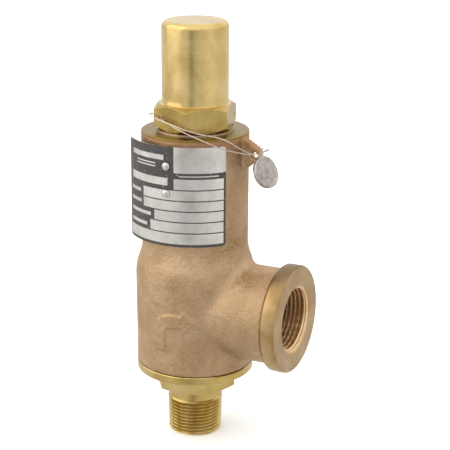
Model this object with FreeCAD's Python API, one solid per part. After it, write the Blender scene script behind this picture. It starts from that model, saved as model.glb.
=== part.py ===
import FreeCAD, Part
import math
import os

# Bronze safety relief valve, threaded inlet below and threaded outlet at the side.
# Millimetres.  Origin: centre of the inlet end face.  +Z runs up the valve axis, +X is
# the outlet axis, -Y is the side that carries the nameplate.

# ---------------------------------------------------------------- driving dimensions
# Inlet nozzle
INLET_CREST_R = 13.3        # crest radius of the 3/4 inch taper thread, mid length
INLET_PITCH = 1.814         # 14 threads per inch
INLET_THREAD_TOP = 18.3
INLET_END_R = 12.2          # radius of the end face inside the lead chamfer
INLET_CHAMFER = 0.45
INLET_NECK_R = 13.0
NECK_TOP = 24.7
NOZZLE_HEX_AF = 36.5
NOZZLE_HEX_TURN = 35.15     # azimuth of one hexagon corner
FLANGE_BOTTOM = 34.1
FLANGE_TOP = 38.2           # the body casting stands on this face
FLANGE_R = 28.8
ORIFICE_R = 7.2
SEAT_LIP_R = 8.4
SEAT_Z = 54.0
NOZZLE_TUBE_R = 14.0
SPIGOT_R = 24.3
SPIGOT_TOP = 47.5

# Body casting
LOWER_R_FOOT = 28.75
LOWER_R_TOP = 29.1
SHOULDER_BOTTOM = 83.5
SHOULDER_TOP = 101.5
UPPER_R_FOOT = 25.85
UPPER_R_TOP = 25.95
RIM_TOP = 155.2
RIM_CHAMFER = 0.65
CHAMBER_R = 24.4
LEDGE_Z = 82.0
SPRING_BORE_R = 21.2
SPRING_ROOF_Z = 146.0
BOSS_R = 14.0
BOSS_TOP = 165.6

# Flow arrow on the lower barrel
ARROW_AZIMUTH = 7.0
ARROW_TOP_R = 30.0

# Outlet branch
OUTLET_Z = 67.2
OUTLET_FACE_X = 54.2
NECK_R = 23.4
BRANCH_FILLET = 5.0         # blend between the neck and the barrel
COLLAR_R = 26.2
COLLAR_LENGTH = 8.4
OUTLET_CREST_R = 14.68      # tap drill radius of a 1 inch taper thread
OUTLET_PITCH = 2.209        # 11.5 threads per inch
OUTLET_THREAD_LENGTH = 20.0
OUTLET_MOUTH_R = 16.8
OUTLET_CORE_R = 17.0

# Cap
GASKET_R = 18.7
GASKET_T = 0.8
CAP_HEX_AF = 35.4
CAP_HEX_TURN = 13.5         # azimuth of one hexagon corner, from -Y towards +X
CAP_HEX_TOP = 168.2
CAP_R = 15.95
CAP_TOP = 207.2
CAP_BORE_R = 13.0
CAP_EDGE_R = 3.0

# Setting screw and spring
SCREW_R = 8.0
SCREW_PITCH = 1.5
SCREW_BOTTOM = 143.0
SCREW_TOP = 188.0
SCREW_SQUARE_AF = 10.0
NUT_AF = 22.0
NUT_TURN = 20.0             # azimuth of one nut corner
NUT_HEIGHT = 7.0
SPRING_BOTTOM = 98.4
SPRING_TOP = 137.6
SPRING_WIRE_R = 2.25
SPRING_MEAN_R = 14.6
SPRING_TURNS = 5.5

# Disc and stem
STEM_R = 4.0
STEM_TOP = 178.0
PIN_R = 1.2
PIN_Z = 82.0
GUIDE_R = 9.5
HOLDER_SHOULDER_Z = 64.0
RUNNING = 0.06              # radial clearance of the sliding fits
THREAD_PLAY = 0.08          # radial clearance drawn between mating threads
FACE_PLAY = 0.03            # gap drawn where two moving faces rest on each other
LIFT = 3.5                  # travel of the disc to its stop

# Nameplate: a sheet rolled wider than the barrel, touching it at TOUCH_AZIMUTH
PLATE_R = 30.5
PLATE_T = 0.6
PLATE_LOW = 104.0
PLATE_HIGH = 152.2
PLATE_FROM = -49.0
PLATE_TO = 55.5
TOUCH_AZIMUTH = 34.0
SCREW_AZIMUTH = 2.0
DRIVE_SCREW_Z = (142.8, 129.6)

# Ear, seal wire and lead seal
EAR_T = 4.0
EAR_HOLE = (31.9, 145.9)    # x and z
EAR_HOLE_R = 1.5
CORNER_HOLE_Z = 162.3
CORNER_HOLE_INSET = 2.25    # from the hexagon corner inwards
CORNER_HOLE_R = 0.9
WIRE_R = 0.35
SEAL_R = 7.9
SEAL_T = 2.4
SEAL_CENTRE = (39.2, -4.7, 139.5)
SEAL_FACING = 76.0          # azimuth that the seal's face looks to
SEAL_TILT = 23.7            # degrees that its face looks upwards
SEAL_SLOT = (2.6, 1.4, 3.2)  # width, thickness and depth of the wire entry

Z = FreeCAD.Vector(0, 0, 1)
X = FreeCAD.Vector(1, 0, 0)
ORIGIN = FreeCAD.Vector(0, 0, 0)


# ---------------------------------------------------------------- helpers
def vec(x, y, z):
    return FreeCAD.Vector(x, y, z)


def outward(azimuth):
    """Unit vector at an azimuth measured from -Y towards +X."""
    a = math.radians(azimuth)
    return vec(math.sin(a), -math.cos(a), 0)


def sideways(azimuth):
    """Unit vector along the circle at that azimuth."""
    a = math.radians(azimuth)
    return vec(math.cos(a), math.sin(a), 0)


def outline(items, place):
    """Closed face.  An item is a point, or a pair (middle, end) for an arc to end."""
    start = place(*items[0])
    here = start
    edges = []
    for item in items[1:]:
        if isinstance(item[0], tuple):
            middle = place(*item[0])
            end = place(*item[1])
            edges.append(Part.Arc(here, middle, end).toShape())
        else:
            end = place(*item)
            edges.append(Part.LineSegment(here, end).toShape())
        here = end
    if here.distanceToPoint(start) > 1e-6:
        edges.append(Part.LineSegment(here, start).toShape())
    return Part.Face(Part.Wire(edges))


def turned(items):
    """Solid of revolution about Z from an outline in (radius, z)."""
    face = outline(items, lambda r, z: vec(r, 0, z))
    return face.revolve(ORIGIN, Z, 360)


def turned_x(items):
    """Solid of revolution about the outlet axis from an outline in (x, radius)."""
    face = outline(items, lambda x, r: vec(x, 0, OUTLET_Z + r))
    return face.revolve(vec(0, 0, OUTLET_Z), X, 360)


def cylinder(radius, low, high):
    return Part.makeCylinder(radius, high - low, vec(0, 0, low), Z)


def hexagon(across_flats, low, high, corner_azimuth=0.0):
    corner_r = across_flats / math.sqrt(3)
    points = [outward(corner_azimuth + 60 * k) * corner_r + Z * low for k in range(6)]
    face = Part.Face(Part.makePolygon(points + points[:1]))
    return face.extrude(Z * (high - low))


def turned_hexagon(across_flats, low, high, chamfer_low, chamfer_high, corner_azimuth):
    """Hexagon whose corners are turned off by cones at the top, the bottom or both."""
    corner_r = across_flats / math.sqrt(3)
    flat_r = across_flats / 2 - 0.3     # the cones bite this far into the flats
    envelope = turned([
        (0, low), (flat_r if chamfer_low else corner_r + 1, low),
        (corner_r, low + chamfer_low), (corner_r + 0.01, (low + high) / 2),
        (corner_r, high - chamfer_high),
        (flat_r if chamfer_high else corner_r + 1, high), (0, high)])
    return hexagon(across_flats, low, high, corner_azimuth).common(envelope)


def thread_grooves(crest_r, pitch, low, high, depth, inward=True):
    """Ring grooves of a thread: a list of V rings cut into a shaft or a bore wall."""
    flat = pitch * 0.28
    half = (pitch - flat) / 2
    count = int((high - low) / pitch)
    side = -1 if inward else 1
    rings = []
    for k in range(count):
        z = low + pitch * (k + 0.5)
        rings.append([(crest_r - side * 0.4, z - half - 0.4 * half / depth),
                      (crest_r + side * depth, z),
                      (crest_r - side * 0.4, z + half + 0.4 * half / depth)])
    return rings


def cut_rings(solid, rings, make):
    return solid.cut(Part.makeCompound([make(ring) for ring in rings]))


def fillet_radii(points, share=0.45):
    """Largest arc radius at each inner point of a route."""
    radii = []
    for before, at, after in zip(points, points[1:], points[2:]):
        a = at - before
        b = after - at
        turn = a.getAngle(b)
        radii.append(share * min(a.Length, b.Length) / math.tan(turn / 2))
    return radii


def tube(points, radius):
    """Round wire along straight runs joined by tangent arcs."""
    radii = fillet_radii(points)
    edges = []
    here = points[0]
    for k in range(1, len(points) - 1):
        at = points[k]
        into = (at - points[k - 1]).normalize()
        out = (points[k + 1] - at).normalize()
        turn = into.getAngle(out)
        reach = radii[k - 1] * math.tan(turn / 2)
        first = at - into * reach
        last = at + out * reach
        inside = (out - into).normalize()
        middle = at + inside * (radii[k - 1] / math.cos(turn / 2) - radii[k - 1])
        edges.append(Part.LineSegment(here, first).toShape())
        edges.append(Part.Arc(first, middle, last).toShape())
        here = last
    edges.append(Part.LineSegment(here, points[-1]).toShape())
    path = Part.Wire(edges)
    start = (points[1] - points[0]).normalize()
    section = Part.Wire(Part.makeCircle(radius, points[0], start))
    solid = path.makePipeShell([section], True, False)
    ideal = math.pi * radius ** 2 * path.Length
    print("wire length %.1f, volume share %.3f, smallest radius %.1f"
          % (path.Length, solid.Volume / ideal, min(radii)))
    return solid


# ---------------------------------------------------------------- inlet side
def inlet_nozzle():
    hex_part = turned_hexagon(NOZZLE_HEX_AF, NECK_TOP, FLANGE_BOTTOM, 1.2, 0.0,
                              NOZZLE_HEX_TURN)
    core = turned([
        (0, 0), (INLET_END_R, 0), (INLET_CREST_R, INLET_CHAMFER),
        (INLET_CREST_R, INLET_THREAD_TOP), (INLET_NECK_R, INLET_THREAD_TOP + 0.3),
        (INLET_NECK_R, NECK_TOP),
        (16.0, NECK_TOP), (16.0, FLANGE_BOTTOM), (FLANGE_R - 0.5, FLANGE_BOTTOM),
        (FLANGE_R, FLANGE_BOTTOM + 0.5), (FLANGE_R, FLANGE_TOP), (SPIGOT_R, FLANGE_TOP),
        (SPIGOT_R, SPIGOT_TOP - 1), (SPIGOT_R - 1, SPIGOT_TOP),
        (NOZZLE_TUBE_R + 1.5, SPIGOT_TOP), (NOZZLE_TUBE_R, SPIGOT_TOP + 1.5),
        (NOZZLE_TUBE_R, SEAT_Z - 2.5), (NOZZLE_TUBE_R - 1, SEAT_Z - 1.5),
        (SEAT_LIP_R + 0.8, SEAT_Z - 1.5), (SEAT_LIP_R, SEAT_Z), (0, SEAT_Z)])
    rings = thread_grooves(INLET_CREST_R, INLET_PITCH, INLET_CHAMFER, INLET_THREAD_TOP - 0.4, 1.1)
    core = cut_rings(core, rings, turned)
    bore = turned([
        (0, -1), (10.6, -1), (10.0, 0), (9.7, 0.4), (9.7, 20), (ORIFICE_R, 40),
        (ORIFICE_R, SEAT_Z + 1), (0, SEAT_Z + 1)])
    seal_groove = turned([(SPIGOT_R - 2.05, 39.2), (SPIGOT_R + 0.2, 39.2),
                          (SPIGOT_R + 0.2, 41.6), (SPIGOT_R - 2.05, 41.6)])
    return core.fuse(hex_part).cut(bore).cut(seal_groove).removeSplitter()


def nozzle_seal_ring():
    section_r = 1.0
    return Part.makeTorus(SPIGOT_R - section_r + 0.02, section_r - 0.03, vec(0, 0, 40.4), Z)


# ---------------------------------------------------------------- body casting
def barrel():
    """Lower and upper barrels joined by a shoulder made of two equal tangent arcs."""
    run = LOWER_R_TOP - UPPER_R_FOOT
    rise = SHOULDER_TOP - SHOULDER_BOTTOM
    big = (run ** 2 + rise ** 2) / (4 * run)
    half = math.asin(rise / 2 / big)
    bow = big * (1 - math.cos(half / 2))
    quarter = big * math.sin(half / 2)
    middle = ((LOWER_R_TOP + UPPER_R_FOOT) / 2, (SHOULDER_BOTTOM + SHOULDER_TOP) / 2)
    return turned([
        (0, FLANGE_TOP), (LOWER_R_FOOT - 0.4, FLANGE_TOP), (LOWER_R_FOOT, FLANGE_TOP + 0.4),
        (LOWER_R_TOP, SHOULDER_BOTTOM),
        ((LOWER_R_TOP - bow, SHOULDER_BOTTOM + quarter), middle),
        ((UPPER_R_FOOT + bow, SHOULDER_TOP - quarter), (UPPER_R_FOOT, SHOULDER_TOP)),
        (UPPER_R_TOP, RIM_TOP - RIM_CHAMFER), (UPPER_R_TOP - RIM_CHAMFER, RIM_TOP),
        (BOSS_R, RIM_TOP), (BOSS_R, BOSS_TOP - 1), (BOSS_R - 1, BOSS_TOP), (0, BOSS_TOP)])


def branch():
    """Outlet neck blended into the barrel, and the machined collar round its mouth."""
    collar_x = OUTLET_FACE_X - COLLAR_LENGTH
    neck = turned_x([(0, 0), (0, NECK_R), (collar_x + 1, NECK_R), (collar_x + 1, 0)])
    joined = barrel().fuse(neck).removeSplitter()
    seam = [edge for edge in joined.Edges if is_branch_seam(edge)]
    blended = joined.makeFillet(BRANCH_FILLET, seam)
    collar = turned_x([
        (collar_x, 0), (collar_x, COLLAR_R - 1.6), (collar_x + 0.6, COLLAR_R - 0.5),
        (collar_x + 1.4, COLLAR_R), (OUTLET_FACE_X - 0.9, COLLAR_R),
        (OUTLET_FACE_X, COLLAR_R - 0.9), (OUTLET_FACE_X, 0)])
    return blended.fuse(collar)


def is_branch_seam(edge):
    """True for the edges where the neck's surface leaves the barrel."""
    box = edge.BoundBox
    on_neck = all(abs(math.hypot(v.y, v.z - OUTLET_Z) - NECK_R) < 0.01
                  for v in edge.discretize(7))
    return on_neck and box.XMax < OUTLET_FACE_X - COLLAR_LENGTH and box.XLength > 0.01


def ear():
    """Triangular lug with a round end, for the seal wire."""
    face = outline([
        (22.0, 153.8), (27.4, 153.4), (33.6, 149.8), ((35.4, 147.0), (34.2, 144.0)),
        (29.8, 140.6), (25.6, 137.0), (22.0, 136.0)],
        lambda x, z: vec(x, -EAR_T / 2, z))
    plate = face.extrude(vec(0, EAR_T, 0))
    hole = Part.makeCylinder(EAR_HOLE_R, EAR_T + 2,
                             vec(EAR_HOLE[0], -EAR_T / 2 - 1, EAR_HOLE[1]), vec(0, 1, 0))
    rim = [e for e in plate.Edges if e.BoundBox.YLength < 0.01 and e.BoundBox.XMin > 24]
    return plate.makeFillet(0.7, rim), hole


def flow_arrow():
    """Raised bent arrow on the lower barrel: up, then towards the outlet."""
    face = outline([
        (-9.6, 51.6), (-5.4, 51.6), (-5.4, 62.0), ((-4.6, 64.0), (-2.6, 64.8)),
        (4.8, 64.8), (4.8, 62.0), (9.8, 67.0), (4.8, 72.0), (4.8, 69.2), (-2.6, 69.2),
        ((-7.6, 67.1), (-9.6, 62.0))],
        lambda s, z: vec(s, 0, z))
    bar = face.extrude(vec(0, -40, 0))
    shell = turned([(26, 48), (ARROW_TOP_R, 48), (ARROW_TOP_R, 76), (26, 76)])
    arrow = bar.common(shell)
    arrow.rotate(ORIGIN, Z, ARROW_AZIMUTH)
    return arrow


def body_bores():
    """Everything machined or cored out of the casting, as one list of solids."""
    bore = turned([
        (0, FLANGE_TOP - 1), (SPIGOT_R + 0.5, FLANGE_TOP - 1), (SPIGOT_R + 0.05, FLANGE_TOP + 0.5),
        (SPIGOT_R + 0.05, SPIGOT_TOP + 1), (CHAMBER_R, SPIGOT_TOP + 1), (CHAMBER_R, LEDGE_Z),
        (SPRING_BORE_R, LEDGE_Z), (SPRING_BORE_R, SPRING_ROOF_Z - 4),
        (SPRING_BORE_R - 4, SPRING_ROOF_Z), (0, SPRING_ROOF_Z)])
    screw_hole = cylinder(SCREW_R + THREAD_PLAY, SPRING_ROOF_Z - 1, BOSS_TOP + 1)
    ring_groove = turned([(CHAMBER_R - 1, 76.2), (CHAMBER_R + 1.0, 76.2),
                          (CHAMBER_R + 1.0, 77.6), (CHAMBER_R - 1, 77.6)])
    thread_end = OUTLET_FACE_X - OUTLET_THREAD_LENGTH
    port = turned_x([
        (0, 0), (0, OUTLET_CORE_R), (thread_end - 3, OUTLET_CORE_R),
        (thread_end, OUTLET_CREST_R), (OUTLET_FACE_X - 2.2, OUTLET_CREST_R),
        (OUTLET_FACE_X, OUTLET_MOUTH_R), (OUTLET_FACE_X + 1, OUTLET_MOUTH_R + 1),
        (OUTLET_FACE_X + 1, 0)])
    return [bore, screw_hole, ring_groove, port]


def outlet_thread_rings():
    low = OUTLET_FACE_X - OUTLET_THREAD_LENGTH + 0.6
    high = OUTLET_FACE_X - 2.0
    rings = thread_grooves(OUTLET_CREST_R, OUTLET_PITCH, low, high, 1.3, inward=False)
    return [[(z, r) for r, z in ring] for ring in rings]


def drive_screw_places():
    """Centre and direction of each drive screw, on the nameplate's outer face."""
    centre = plate_centre()
    way = outward(SCREW_AZIMUTH)
    return [(centre + way * (PLATE_R + PLATE_T) + Z * z, way) for z in DRIVE_SCREW_Z]


def drive_screw_holes(radius):
    return [Part.makeCylinder(radius, 6.6, place - way * 6.5, way)
            for place, way in drive_screw_places()]


def valve_body():
    lug, lug_hole = ear()
    solid = branch().fuse(lug).fuse(flow_arrow())
    for tool in body_bores():
        solid = solid.cut(tool)
    solid = solid.cut(lug_hole)
    solid = cut_rings(solid, outlet_thread_rings(), turned_x)
    boss = thread_grooves(BOSS_R, SCREW_PITCH, RIM_TOP + 1.2, BOSS_TOP - 1, 0.7)
    solid = cut_rings(solid, boss, turned)
    for hole in drive_screw_holes(1.25):
        solid = solid.cut(hole)
    return solid


# ---------------------------------------------------------------- disc, guide and stem
def disc_guide():
    """Flanged bush that guides the disc holder; its lower end is the lift stop."""
    low = HOLDER_SHOULDER_Z + LIFT + 0.3
    solid = turned([
        (GUIDE_R + RUNNING, low), (13.0, low), (14.0, low + 1), (14.0, 78.0),
        (CHAMBER_R - 0.04, 78.0), (CHAMBER_R - 0.04, LEDGE_Z), (SPRING_BORE_R - 0.1, LEDGE_Z),
        (SPRING_BORE_R - 0.1, LEDGE_Z + 2.5), (14.0, LEDGE_Z + 2.5), (14.0, 88.0),
        (13.0, 89.0), (GUIDE_R + RUNNING, 89.0)])
    for k in range(4):
        way = outward(45 + 90 * k) * 17.8
        solid = solid.cut(Part.makeCylinder(1.6, 10, vec(way.x, way.y, 76), Z))
    return solid


def guide_snap_ring():
    """Flat split ring in the body groove under the guide's flange."""
    ring = turned([(CHAMBER_R - 2.2, 76.35), (CHAMBER_R + 0.9, 76.35),
                   (CHAMBER_R + 0.9, 77.45), (CHAMBER_R - 2.2, 77.45)])
    opening = Part.makeBox(8, 9, 4, vec(-4, CHAMBER_R - 6, 75))
    return ring.cut(opening)


def disc_holder():
    """Skirted piston: recess for the soft disc below, blind bore for the stem above."""
    solid = turned([
        (0, SEAT_Z + FACE_PLAY), (13.6, SEAT_Z + FACE_PLAY), (13.6, HOLDER_SHOULDER_Z - 1.5),
        (12.0, HOLDER_SHOULDER_Z), (GUIDE_R, HOLDER_SHOULDER_Z), (GUIDE_R, 91.0),
        (GUIDE_R - 1, 92.0), (0, 92.0)])
    recess = turned([(0, SEAT_Z - 1), (11.9, SEAT_Z - 1), (11.9, SEAT_Z + 1.2),
                     (11.0, SEAT_Z + 1.6), (11.0, SEAT_Z + 4.2), (0, SEAT_Z + 4.2)])
    screw_hole = cylinder(2.05, SEAT_Z, 66.0)
    stem_hole = cylinder(STEM_R + 0.05, 70.0, 93.0)
    pin_hole = Part.makeCylinder(PIN_R + 0.05, 40, vec(-20, 0, PIN_Z), X)
    return solid.cut(recess).cut(screw_hole).cut(stem_hole).cut(pin_hole)


def seat_insert():
    """Soft disc that closes on the nozzle lip."""
    low = SEAT_Z + FACE_PLAY
    return turned([(2.1, low), (10.9, low), (10.9, SEAT_Z + 4.15), (2.1, SEAT_Z + 4.15)])


def insert_washer():
    return turned([(2.15, SEAT_Z - 1.0), (5.2, SEAT_Z - 1.0), (5.6, SEAT_Z - 0.6),
                   (5.6, SEAT_Z), (2.15, SEAT_Z)])


def insert_screw():
    """Pan-head screw from below, through washer and soft disc into the holder."""
    solid = turned([
        (0, SEAT_Z - 3.4), (2.6, SEAT_Z - 3.4), ((3.5, SEAT_Z - 2.9), (3.8, SEAT_Z - 1.03)),
        (2.0, SEAT_Z - 1.03), (2.0, 65.4), (1.5, 65.9), (0, 65.9)])
    slot = Part.makeBox(9, 0.9, 1.2, vec(-4.5, -0.45, SEAT_Z - 3.6))
    return solid.cut(slot)


def stem():
    """Plain spindle from the holder up into the hollow setting screw."""
    solid = turned([
        (0, 70.2), (STEM_R - 0.8, 70.2), (STEM_R, 71.2), (STEM_R, STEM_TOP - 0.8),
        (STEM_R - 0.8, STEM_TOP), (0, STEM_TOP)])
    return solid.cut(Part.makeCylinder(PIN_R + 0.05, 20, vec(-10, 0, PIN_Z), X))


def stem_pin():
    """Cross pin that ties the stem to the disc holder."""
    return Part.makeCylinder(PIN_R, 18.6, vec(-9.3, 0, PIN_Z), X)


# ---------------------------------------------------------------- spring stack
def lower_spring_step():
    """Carried on the disc holder's top face; its spigot centres the spring."""
    return turned([
        (STEM_R + 0.1, 92.0), (9.0, 92.0), (17.6, 94.4), (17.6, SPRING_BOTTOM),
        (11.9, SPRING_BOTTOM), (11.6, SPRING_BOTTOM + 3.5), (10.6, SPRING_BOTTOM + 4.2),
        (STEM_R + 0.1, SPRING_BOTTOM + 4.2)])


def upper_spring_step():
    """Mirror of the lower step; the setting screw's nose bears on its top face."""
    seat = SCREW_BOTTOM - FACE_PLAY
    return turned([
        (STEM_R + 0.6, SPRING_TOP - 4.2), (10.6, SPRING_TOP - 4.2), (11.6, SPRING_TOP - 3.5),
        (11.9, SPRING_TOP), (16.6, SPRING_TOP), (16.6, SPRING_TOP + 2.4), (9.0, SPRING_TOP + 5.2),
        (7.6, SPRING_TOP + 5.2), (7.6, seat), (STEM_R + 0.6, seat)])


def spring():
    """Round-wire compression spring with its two end faces ground flat."""
    height = SPRING_TOP - SPRING_BOTTOM
    pitch = height / SPRING_TURNS
    helix = Part.makeHelix(pitch, height, SPRING_MEAN_R)
    helix.translate(Z * SPRING_BOTTOM)
    start = vec(SPRING_MEAN_R, 0, SPRING_BOTTOM)
    section = Part.Wire(Part.makeCircle(SPRING_WIRE_R, start, vec(0, 1, 0)))
    coil = Part.Wire(helix.Edges).makePipeShell([section], True, True)
    slab = turned([(0, SPRING_BOTTOM + 0.02), (20, SPRING_BOTTOM + 0.02),
                   (20, SPRING_TOP - 0.02), (0, SPRING_TOP - 0.02)])
    return coil.common(slab)


def adjusting_screw():
    """Hollow setting screw with a square top for a wrench."""
    solid = turned([
        (0, SCREW_BOTTOM), (6.6, SCREW_BOTTOM), (SCREW_R, SCREW_BOTTOM + 1.4),
        (SCREW_R, SCREW_TOP - 9), (SCREW_R - 1, SCREW_TOP - 8), (0, SCREW_TOP - 8)])
    grooves = thread_grooves(SCREW_R, SCREW_PITCH, SCREW_BOTTOM + 3, SCREW_TOP - 11, 0.8)
    solid = cut_rings(solid, grooves, turned)
    half = SCREW_SQUARE_AF / 2
    square = Part.makeBox(2 * half, 2 * half, 9, vec(-half, -half, SCREW_TOP - 9))
    square = square.common(turned([(0, SCREW_TOP - 9), (7.0, SCREW_TOP - 9),
                                   (7.0, SCREW_TOP - 1.2), (5.4, SCREW_TOP), (0, SCREW_TOP)]))
    bore = cylinder(STEM_R + 0.3, SCREW_BOTTOM - 1, SCREW_TOP - 3)
    return solid.fuse(square).cut(bore).removeSplitter()


def jam_nut():
    """Hexagon lock nut on top of the boss, inside the cap."""
    low = BOSS_TOP + 0.05
    body = turned_hexagon(NUT_AF, low, low + NUT_HEIGHT, 0.8, 0.8, NUT_TURN)
    return body.cut(cylinder(SCREW_R + THREAD_PLAY, low - 1, low + NUT_HEIGHT + 1))


# ---------------------------------------------------------------- cap
def cap_gasket():
    low = RIM_TOP + FACE_PLAY
    high = RIM_TOP + GASKET_T
    return turned([(BOSS_R + 0.5, low), (GASKET_R, low), (GASKET_R, high), (BOSS_R + 0.5, high)])


def corner_hole(azimuth):
    """Wire hole across one hexagon corner, along the circle."""
    corner_r = CAP_HEX_AF / math.sqrt(3)
    at = outward(azimuth) * (corner_r - CORNER_HOLE_INSET) + Z * CORNER_HOLE_Z
    along = sideways(azimuth)
    return Part.makeCylinder(CORNER_HOLE_R, 16, at - along * 8, along)


def cap():
    """One-piece cap: wrench hexagon below, plain round barrel above, hollow inside."""
    low = RIM_TOP + GASKET_T + FACE_PLAY
    hexagonal = turned_hexagon(CAP_HEX_AF, low, CAP_HEX_TOP, 2.4, 2.0, CAP_HEX_TURN)
    round_part = turned([
        (0, CAP_HEX_TOP - 3), (CAP_R, CAP_HEX_TOP - 3), (CAP_R, CAP_TOP - CAP_EDGE_R),
        ((CAP_R - CAP_EDGE_R * (1 - math.sqrt(0.5)), CAP_TOP - CAP_EDGE_R * (1 - math.sqrt(0.5))),
         (CAP_R - CAP_EDGE_R, CAP_TOP)),
        (0, CAP_TOP)])
    bore = turned([
        (0, low - 1), (BOSS_R + 1.6, low - 1), (BOSS_R + THREAD_PLAY, low + 0.6),
        (BOSS_R + THREAD_PLAY, BOSS_TOP + 0.4),
        (CAP_BORE_R, BOSS_TOP + 1.2), (CAP_BORE_R, CAP_TOP - 6), (CAP_BORE_R - 3, CAP_TOP - 3),
        (0, CAP_TOP - 3)])
    solid = hexagonal.fuse(round_part).cut(bore)
    for azimuth in (CAP_HEX_TURN - 60, CAP_HEX_TURN + 120):
        solid = solid.cut(corner_hole(azimuth))
    return solid


# ---------------------------------------------------------------- nameplate
def plate_centre():
    stand = PLATE_R - UPPER_R_TOP - 0.15
    return outward(TOUCH_AZIMUTH) * -stand


def nameplate():
    """Rolled rectangular sheet with rounded corners and two fixing holes."""
    centre = plate_centre()
    ring = Part.makeCylinder(PLATE_R + PLATE_T, PLATE_HIGH - PLATE_LOW, Z * PLATE_LOW, Z)
    ring = ring.cut(Part.makeCylinder(PLATE_R, 60, Z * (PLATE_LOW - 1), Z))
    middle = (PLATE_FROM + PLATE_TO) / 2
    half = math.radians((PLATE_TO - PLATE_FROM) / 2)
    reach = PLATE_R * math.sin(half)
    blank = Part.makeBox(2 * reach, 40, PLATE_HIGH - PLATE_LOW, vec(-reach, -40 - 8, PLATE_LOW))
    corners = [e for e in blank.Edges if e.BoundBox.YLength > 30]
    blank = blank.makeFillet(1.6, corners)
    blank.rotate(ORIGIN, Z, middle)
    sheet = ring.common(blank)
    sheet.translate(centre)
    for hole in drive_screw_holes(1.3):
        sheet = sheet.cut(hole)
    return sheet


def nameplate_screws():
    """Two round-head drive screws."""
    parts = []
    for place, way in drive_screw_places():
        head = Part.makeSphere(2.25, place - way * 1.0)
        trim = Part.makeCylinder(4, 4, place + way * 0.02, way)
        shank = Part.makeCylinder(1.2, 5.6, place - way * 5.55, way)
        parts.append(head.common(trim).fuse(shank).removeSplitter())
    return Part.makeCompound(parts)


# ---------------------------------------------------------------- wire and lead seal
def seal_wire():
    """One wire, doubled: through the hexagon corner, then both strands to the ear."""
    out = outward(CAP_HEX_TURN - 60)
    along = sideways(CAP_HEX_TURN - 60)
    hole = out * (CAP_HEX_AF / math.sqrt(3) - CORNER_HOLE_INSET) + Z * CORNER_HOLE_Z
    facing, up, across = seal_frame()
    mouth = seal_mouth()
    front_end = mouth - across * 0.75
    back_end = mouth + across * 0.75
    front = [
        hole, hole + along * 5.4 - Z * 0.4,
        vec(3.6, -22.2, 158.8), vec(15.8, -22.1, 155.2), vec(22.6, -17.0, 151.2),
        vec(27.6, -9.8, 148.4), vec(31.0, -4.6, 146.7), front_end + up * 1.5, front_end - up * 1.4]
    back = [
        hole, hole - along * 5.2 + Z * 0.3, hole - along * 4.6 + out * 3.4 + Z * 0.5,
        hole + along * 1.0 + out * 4.2 + Z * 0.5,
        vec(1.6, -22.4, 160.6), vec(12.2, -19.4, 157.4), vec(20.2, -16.4, 156.5),
        vec(24.6, -13.6, 154.0), vec(27.4, -9.4, 150.6), vec(31.0, -4.4, 147.0),
        vec(31.8, 0.0, 146.0), vec(33.4, 3.9, 146.4), vec(37.6, 3.2, 148.2),
        vec(37.6, -0.6, 149.2), back_end + up * 1.2, back_end - up * 1.4]
    tail = [mouth - up * 1.4, mouth + up * 2.0, vec(37.3, -4.4, 150.2), vec(38.1, -4.0, 151.0)]
    return Part.makeCompound([tube(route, WIRE_R) for route in (front, back, tail)])


def seal_frame():
    """Directions of the seal: out of its face, up in its plane, and across."""
    tilt = math.radians(SEAL_TILT)
    facing = outward(SEAL_FACING) * math.cos(tilt) + Z * math.sin(tilt)
    across = sideways(SEAL_FACING)
    return facing, facing.cross(across), across


def seal_mouth():
    """Point on the seal's rim where the wires go in."""
    up = seal_frame()[1]
    return vec(*SEAL_CENTRE) + up * SEAL_R


def lead_seal():
    """Pressed lead disc on the wire ends, with a narrow slot where they enter."""
    facing, up, across = seal_frame()
    centre = vec(*SEAL_CENTRE)
    disc = Part.makeCylinder(SEAL_R, SEAL_T, centre - facing * (SEAL_T / 2), facing)
    disc = disc.makeFillet(0.5, disc.Edges[:1] + disc.Edges[2:3])
    width, thick, depth = SEAL_SLOT
    corner = seal_mouth() - across * (width / 2) - facing * (thick / 2) - up * depth
    sides = [corner, corner + across * width, corner + across * width + facing * thick,
             corner + facing * thick, corner]
    slot = Part.Face(Part.makePolygon(sides)).extrude(up * (depth + 2))
    return disc.cut(slot)


# ---------------------------------------------------------------- export
NODES = {
    "valve_body": valve_body,
    "inlet_nozzle": inlet_nozzle,
    "nozzle_seal_ring": nozzle_seal_ring,
    "disc_guide": disc_guide,
    "guide_snap_ring": guide_snap_ring,
    "disc_holder": disc_holder,
    "seat_insert": seat_insert,
    "insert_washer": insert_washer,
    "insert_screw": insert_screw,
    "stem": stem,
    "stem_pin": stem_pin,
    "lower_spring_step": lower_spring_step,
    "spring": spring,
    "upper_spring_step": upper_spring_step,
    "adjusting_screw": adjusting_screw,
    "jam_nut": jam_nut,
    "cap_gasket": cap_gasket,
    "cap": cap,
    "nameplate": nameplate,
    "nameplate_screws": nameplate_screws,
    "seal_wire": seal_wire,
    "lead_seal": lead_seal,
}

os.makedirs("parts", exist_ok=True)
for name, build in NODES.items():
    shape = build()
    shape.exportStep("parts/%s.step" % name)
    print(name, "solids", len(shape.Solids), "valid", shape.isValid(), "volume", round(shape.Volume, 1))
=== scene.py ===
# %% [markdown]
# # A bronze relief valve, dressed round its CAD frame
# A relief valve lets steam or water out when the pressure in a boiler climbs too high.
# The CAD frame holds the sizes, the moving bodies and their joints.  This lesson adds
# what an eye looks for: cast skin, lathe marks, real screw threads, a printed plate,
# and a twisted wire with its lead seal.  Loading the frame comes first, because every
# later piece is placed by the frame's own numbers.

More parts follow.
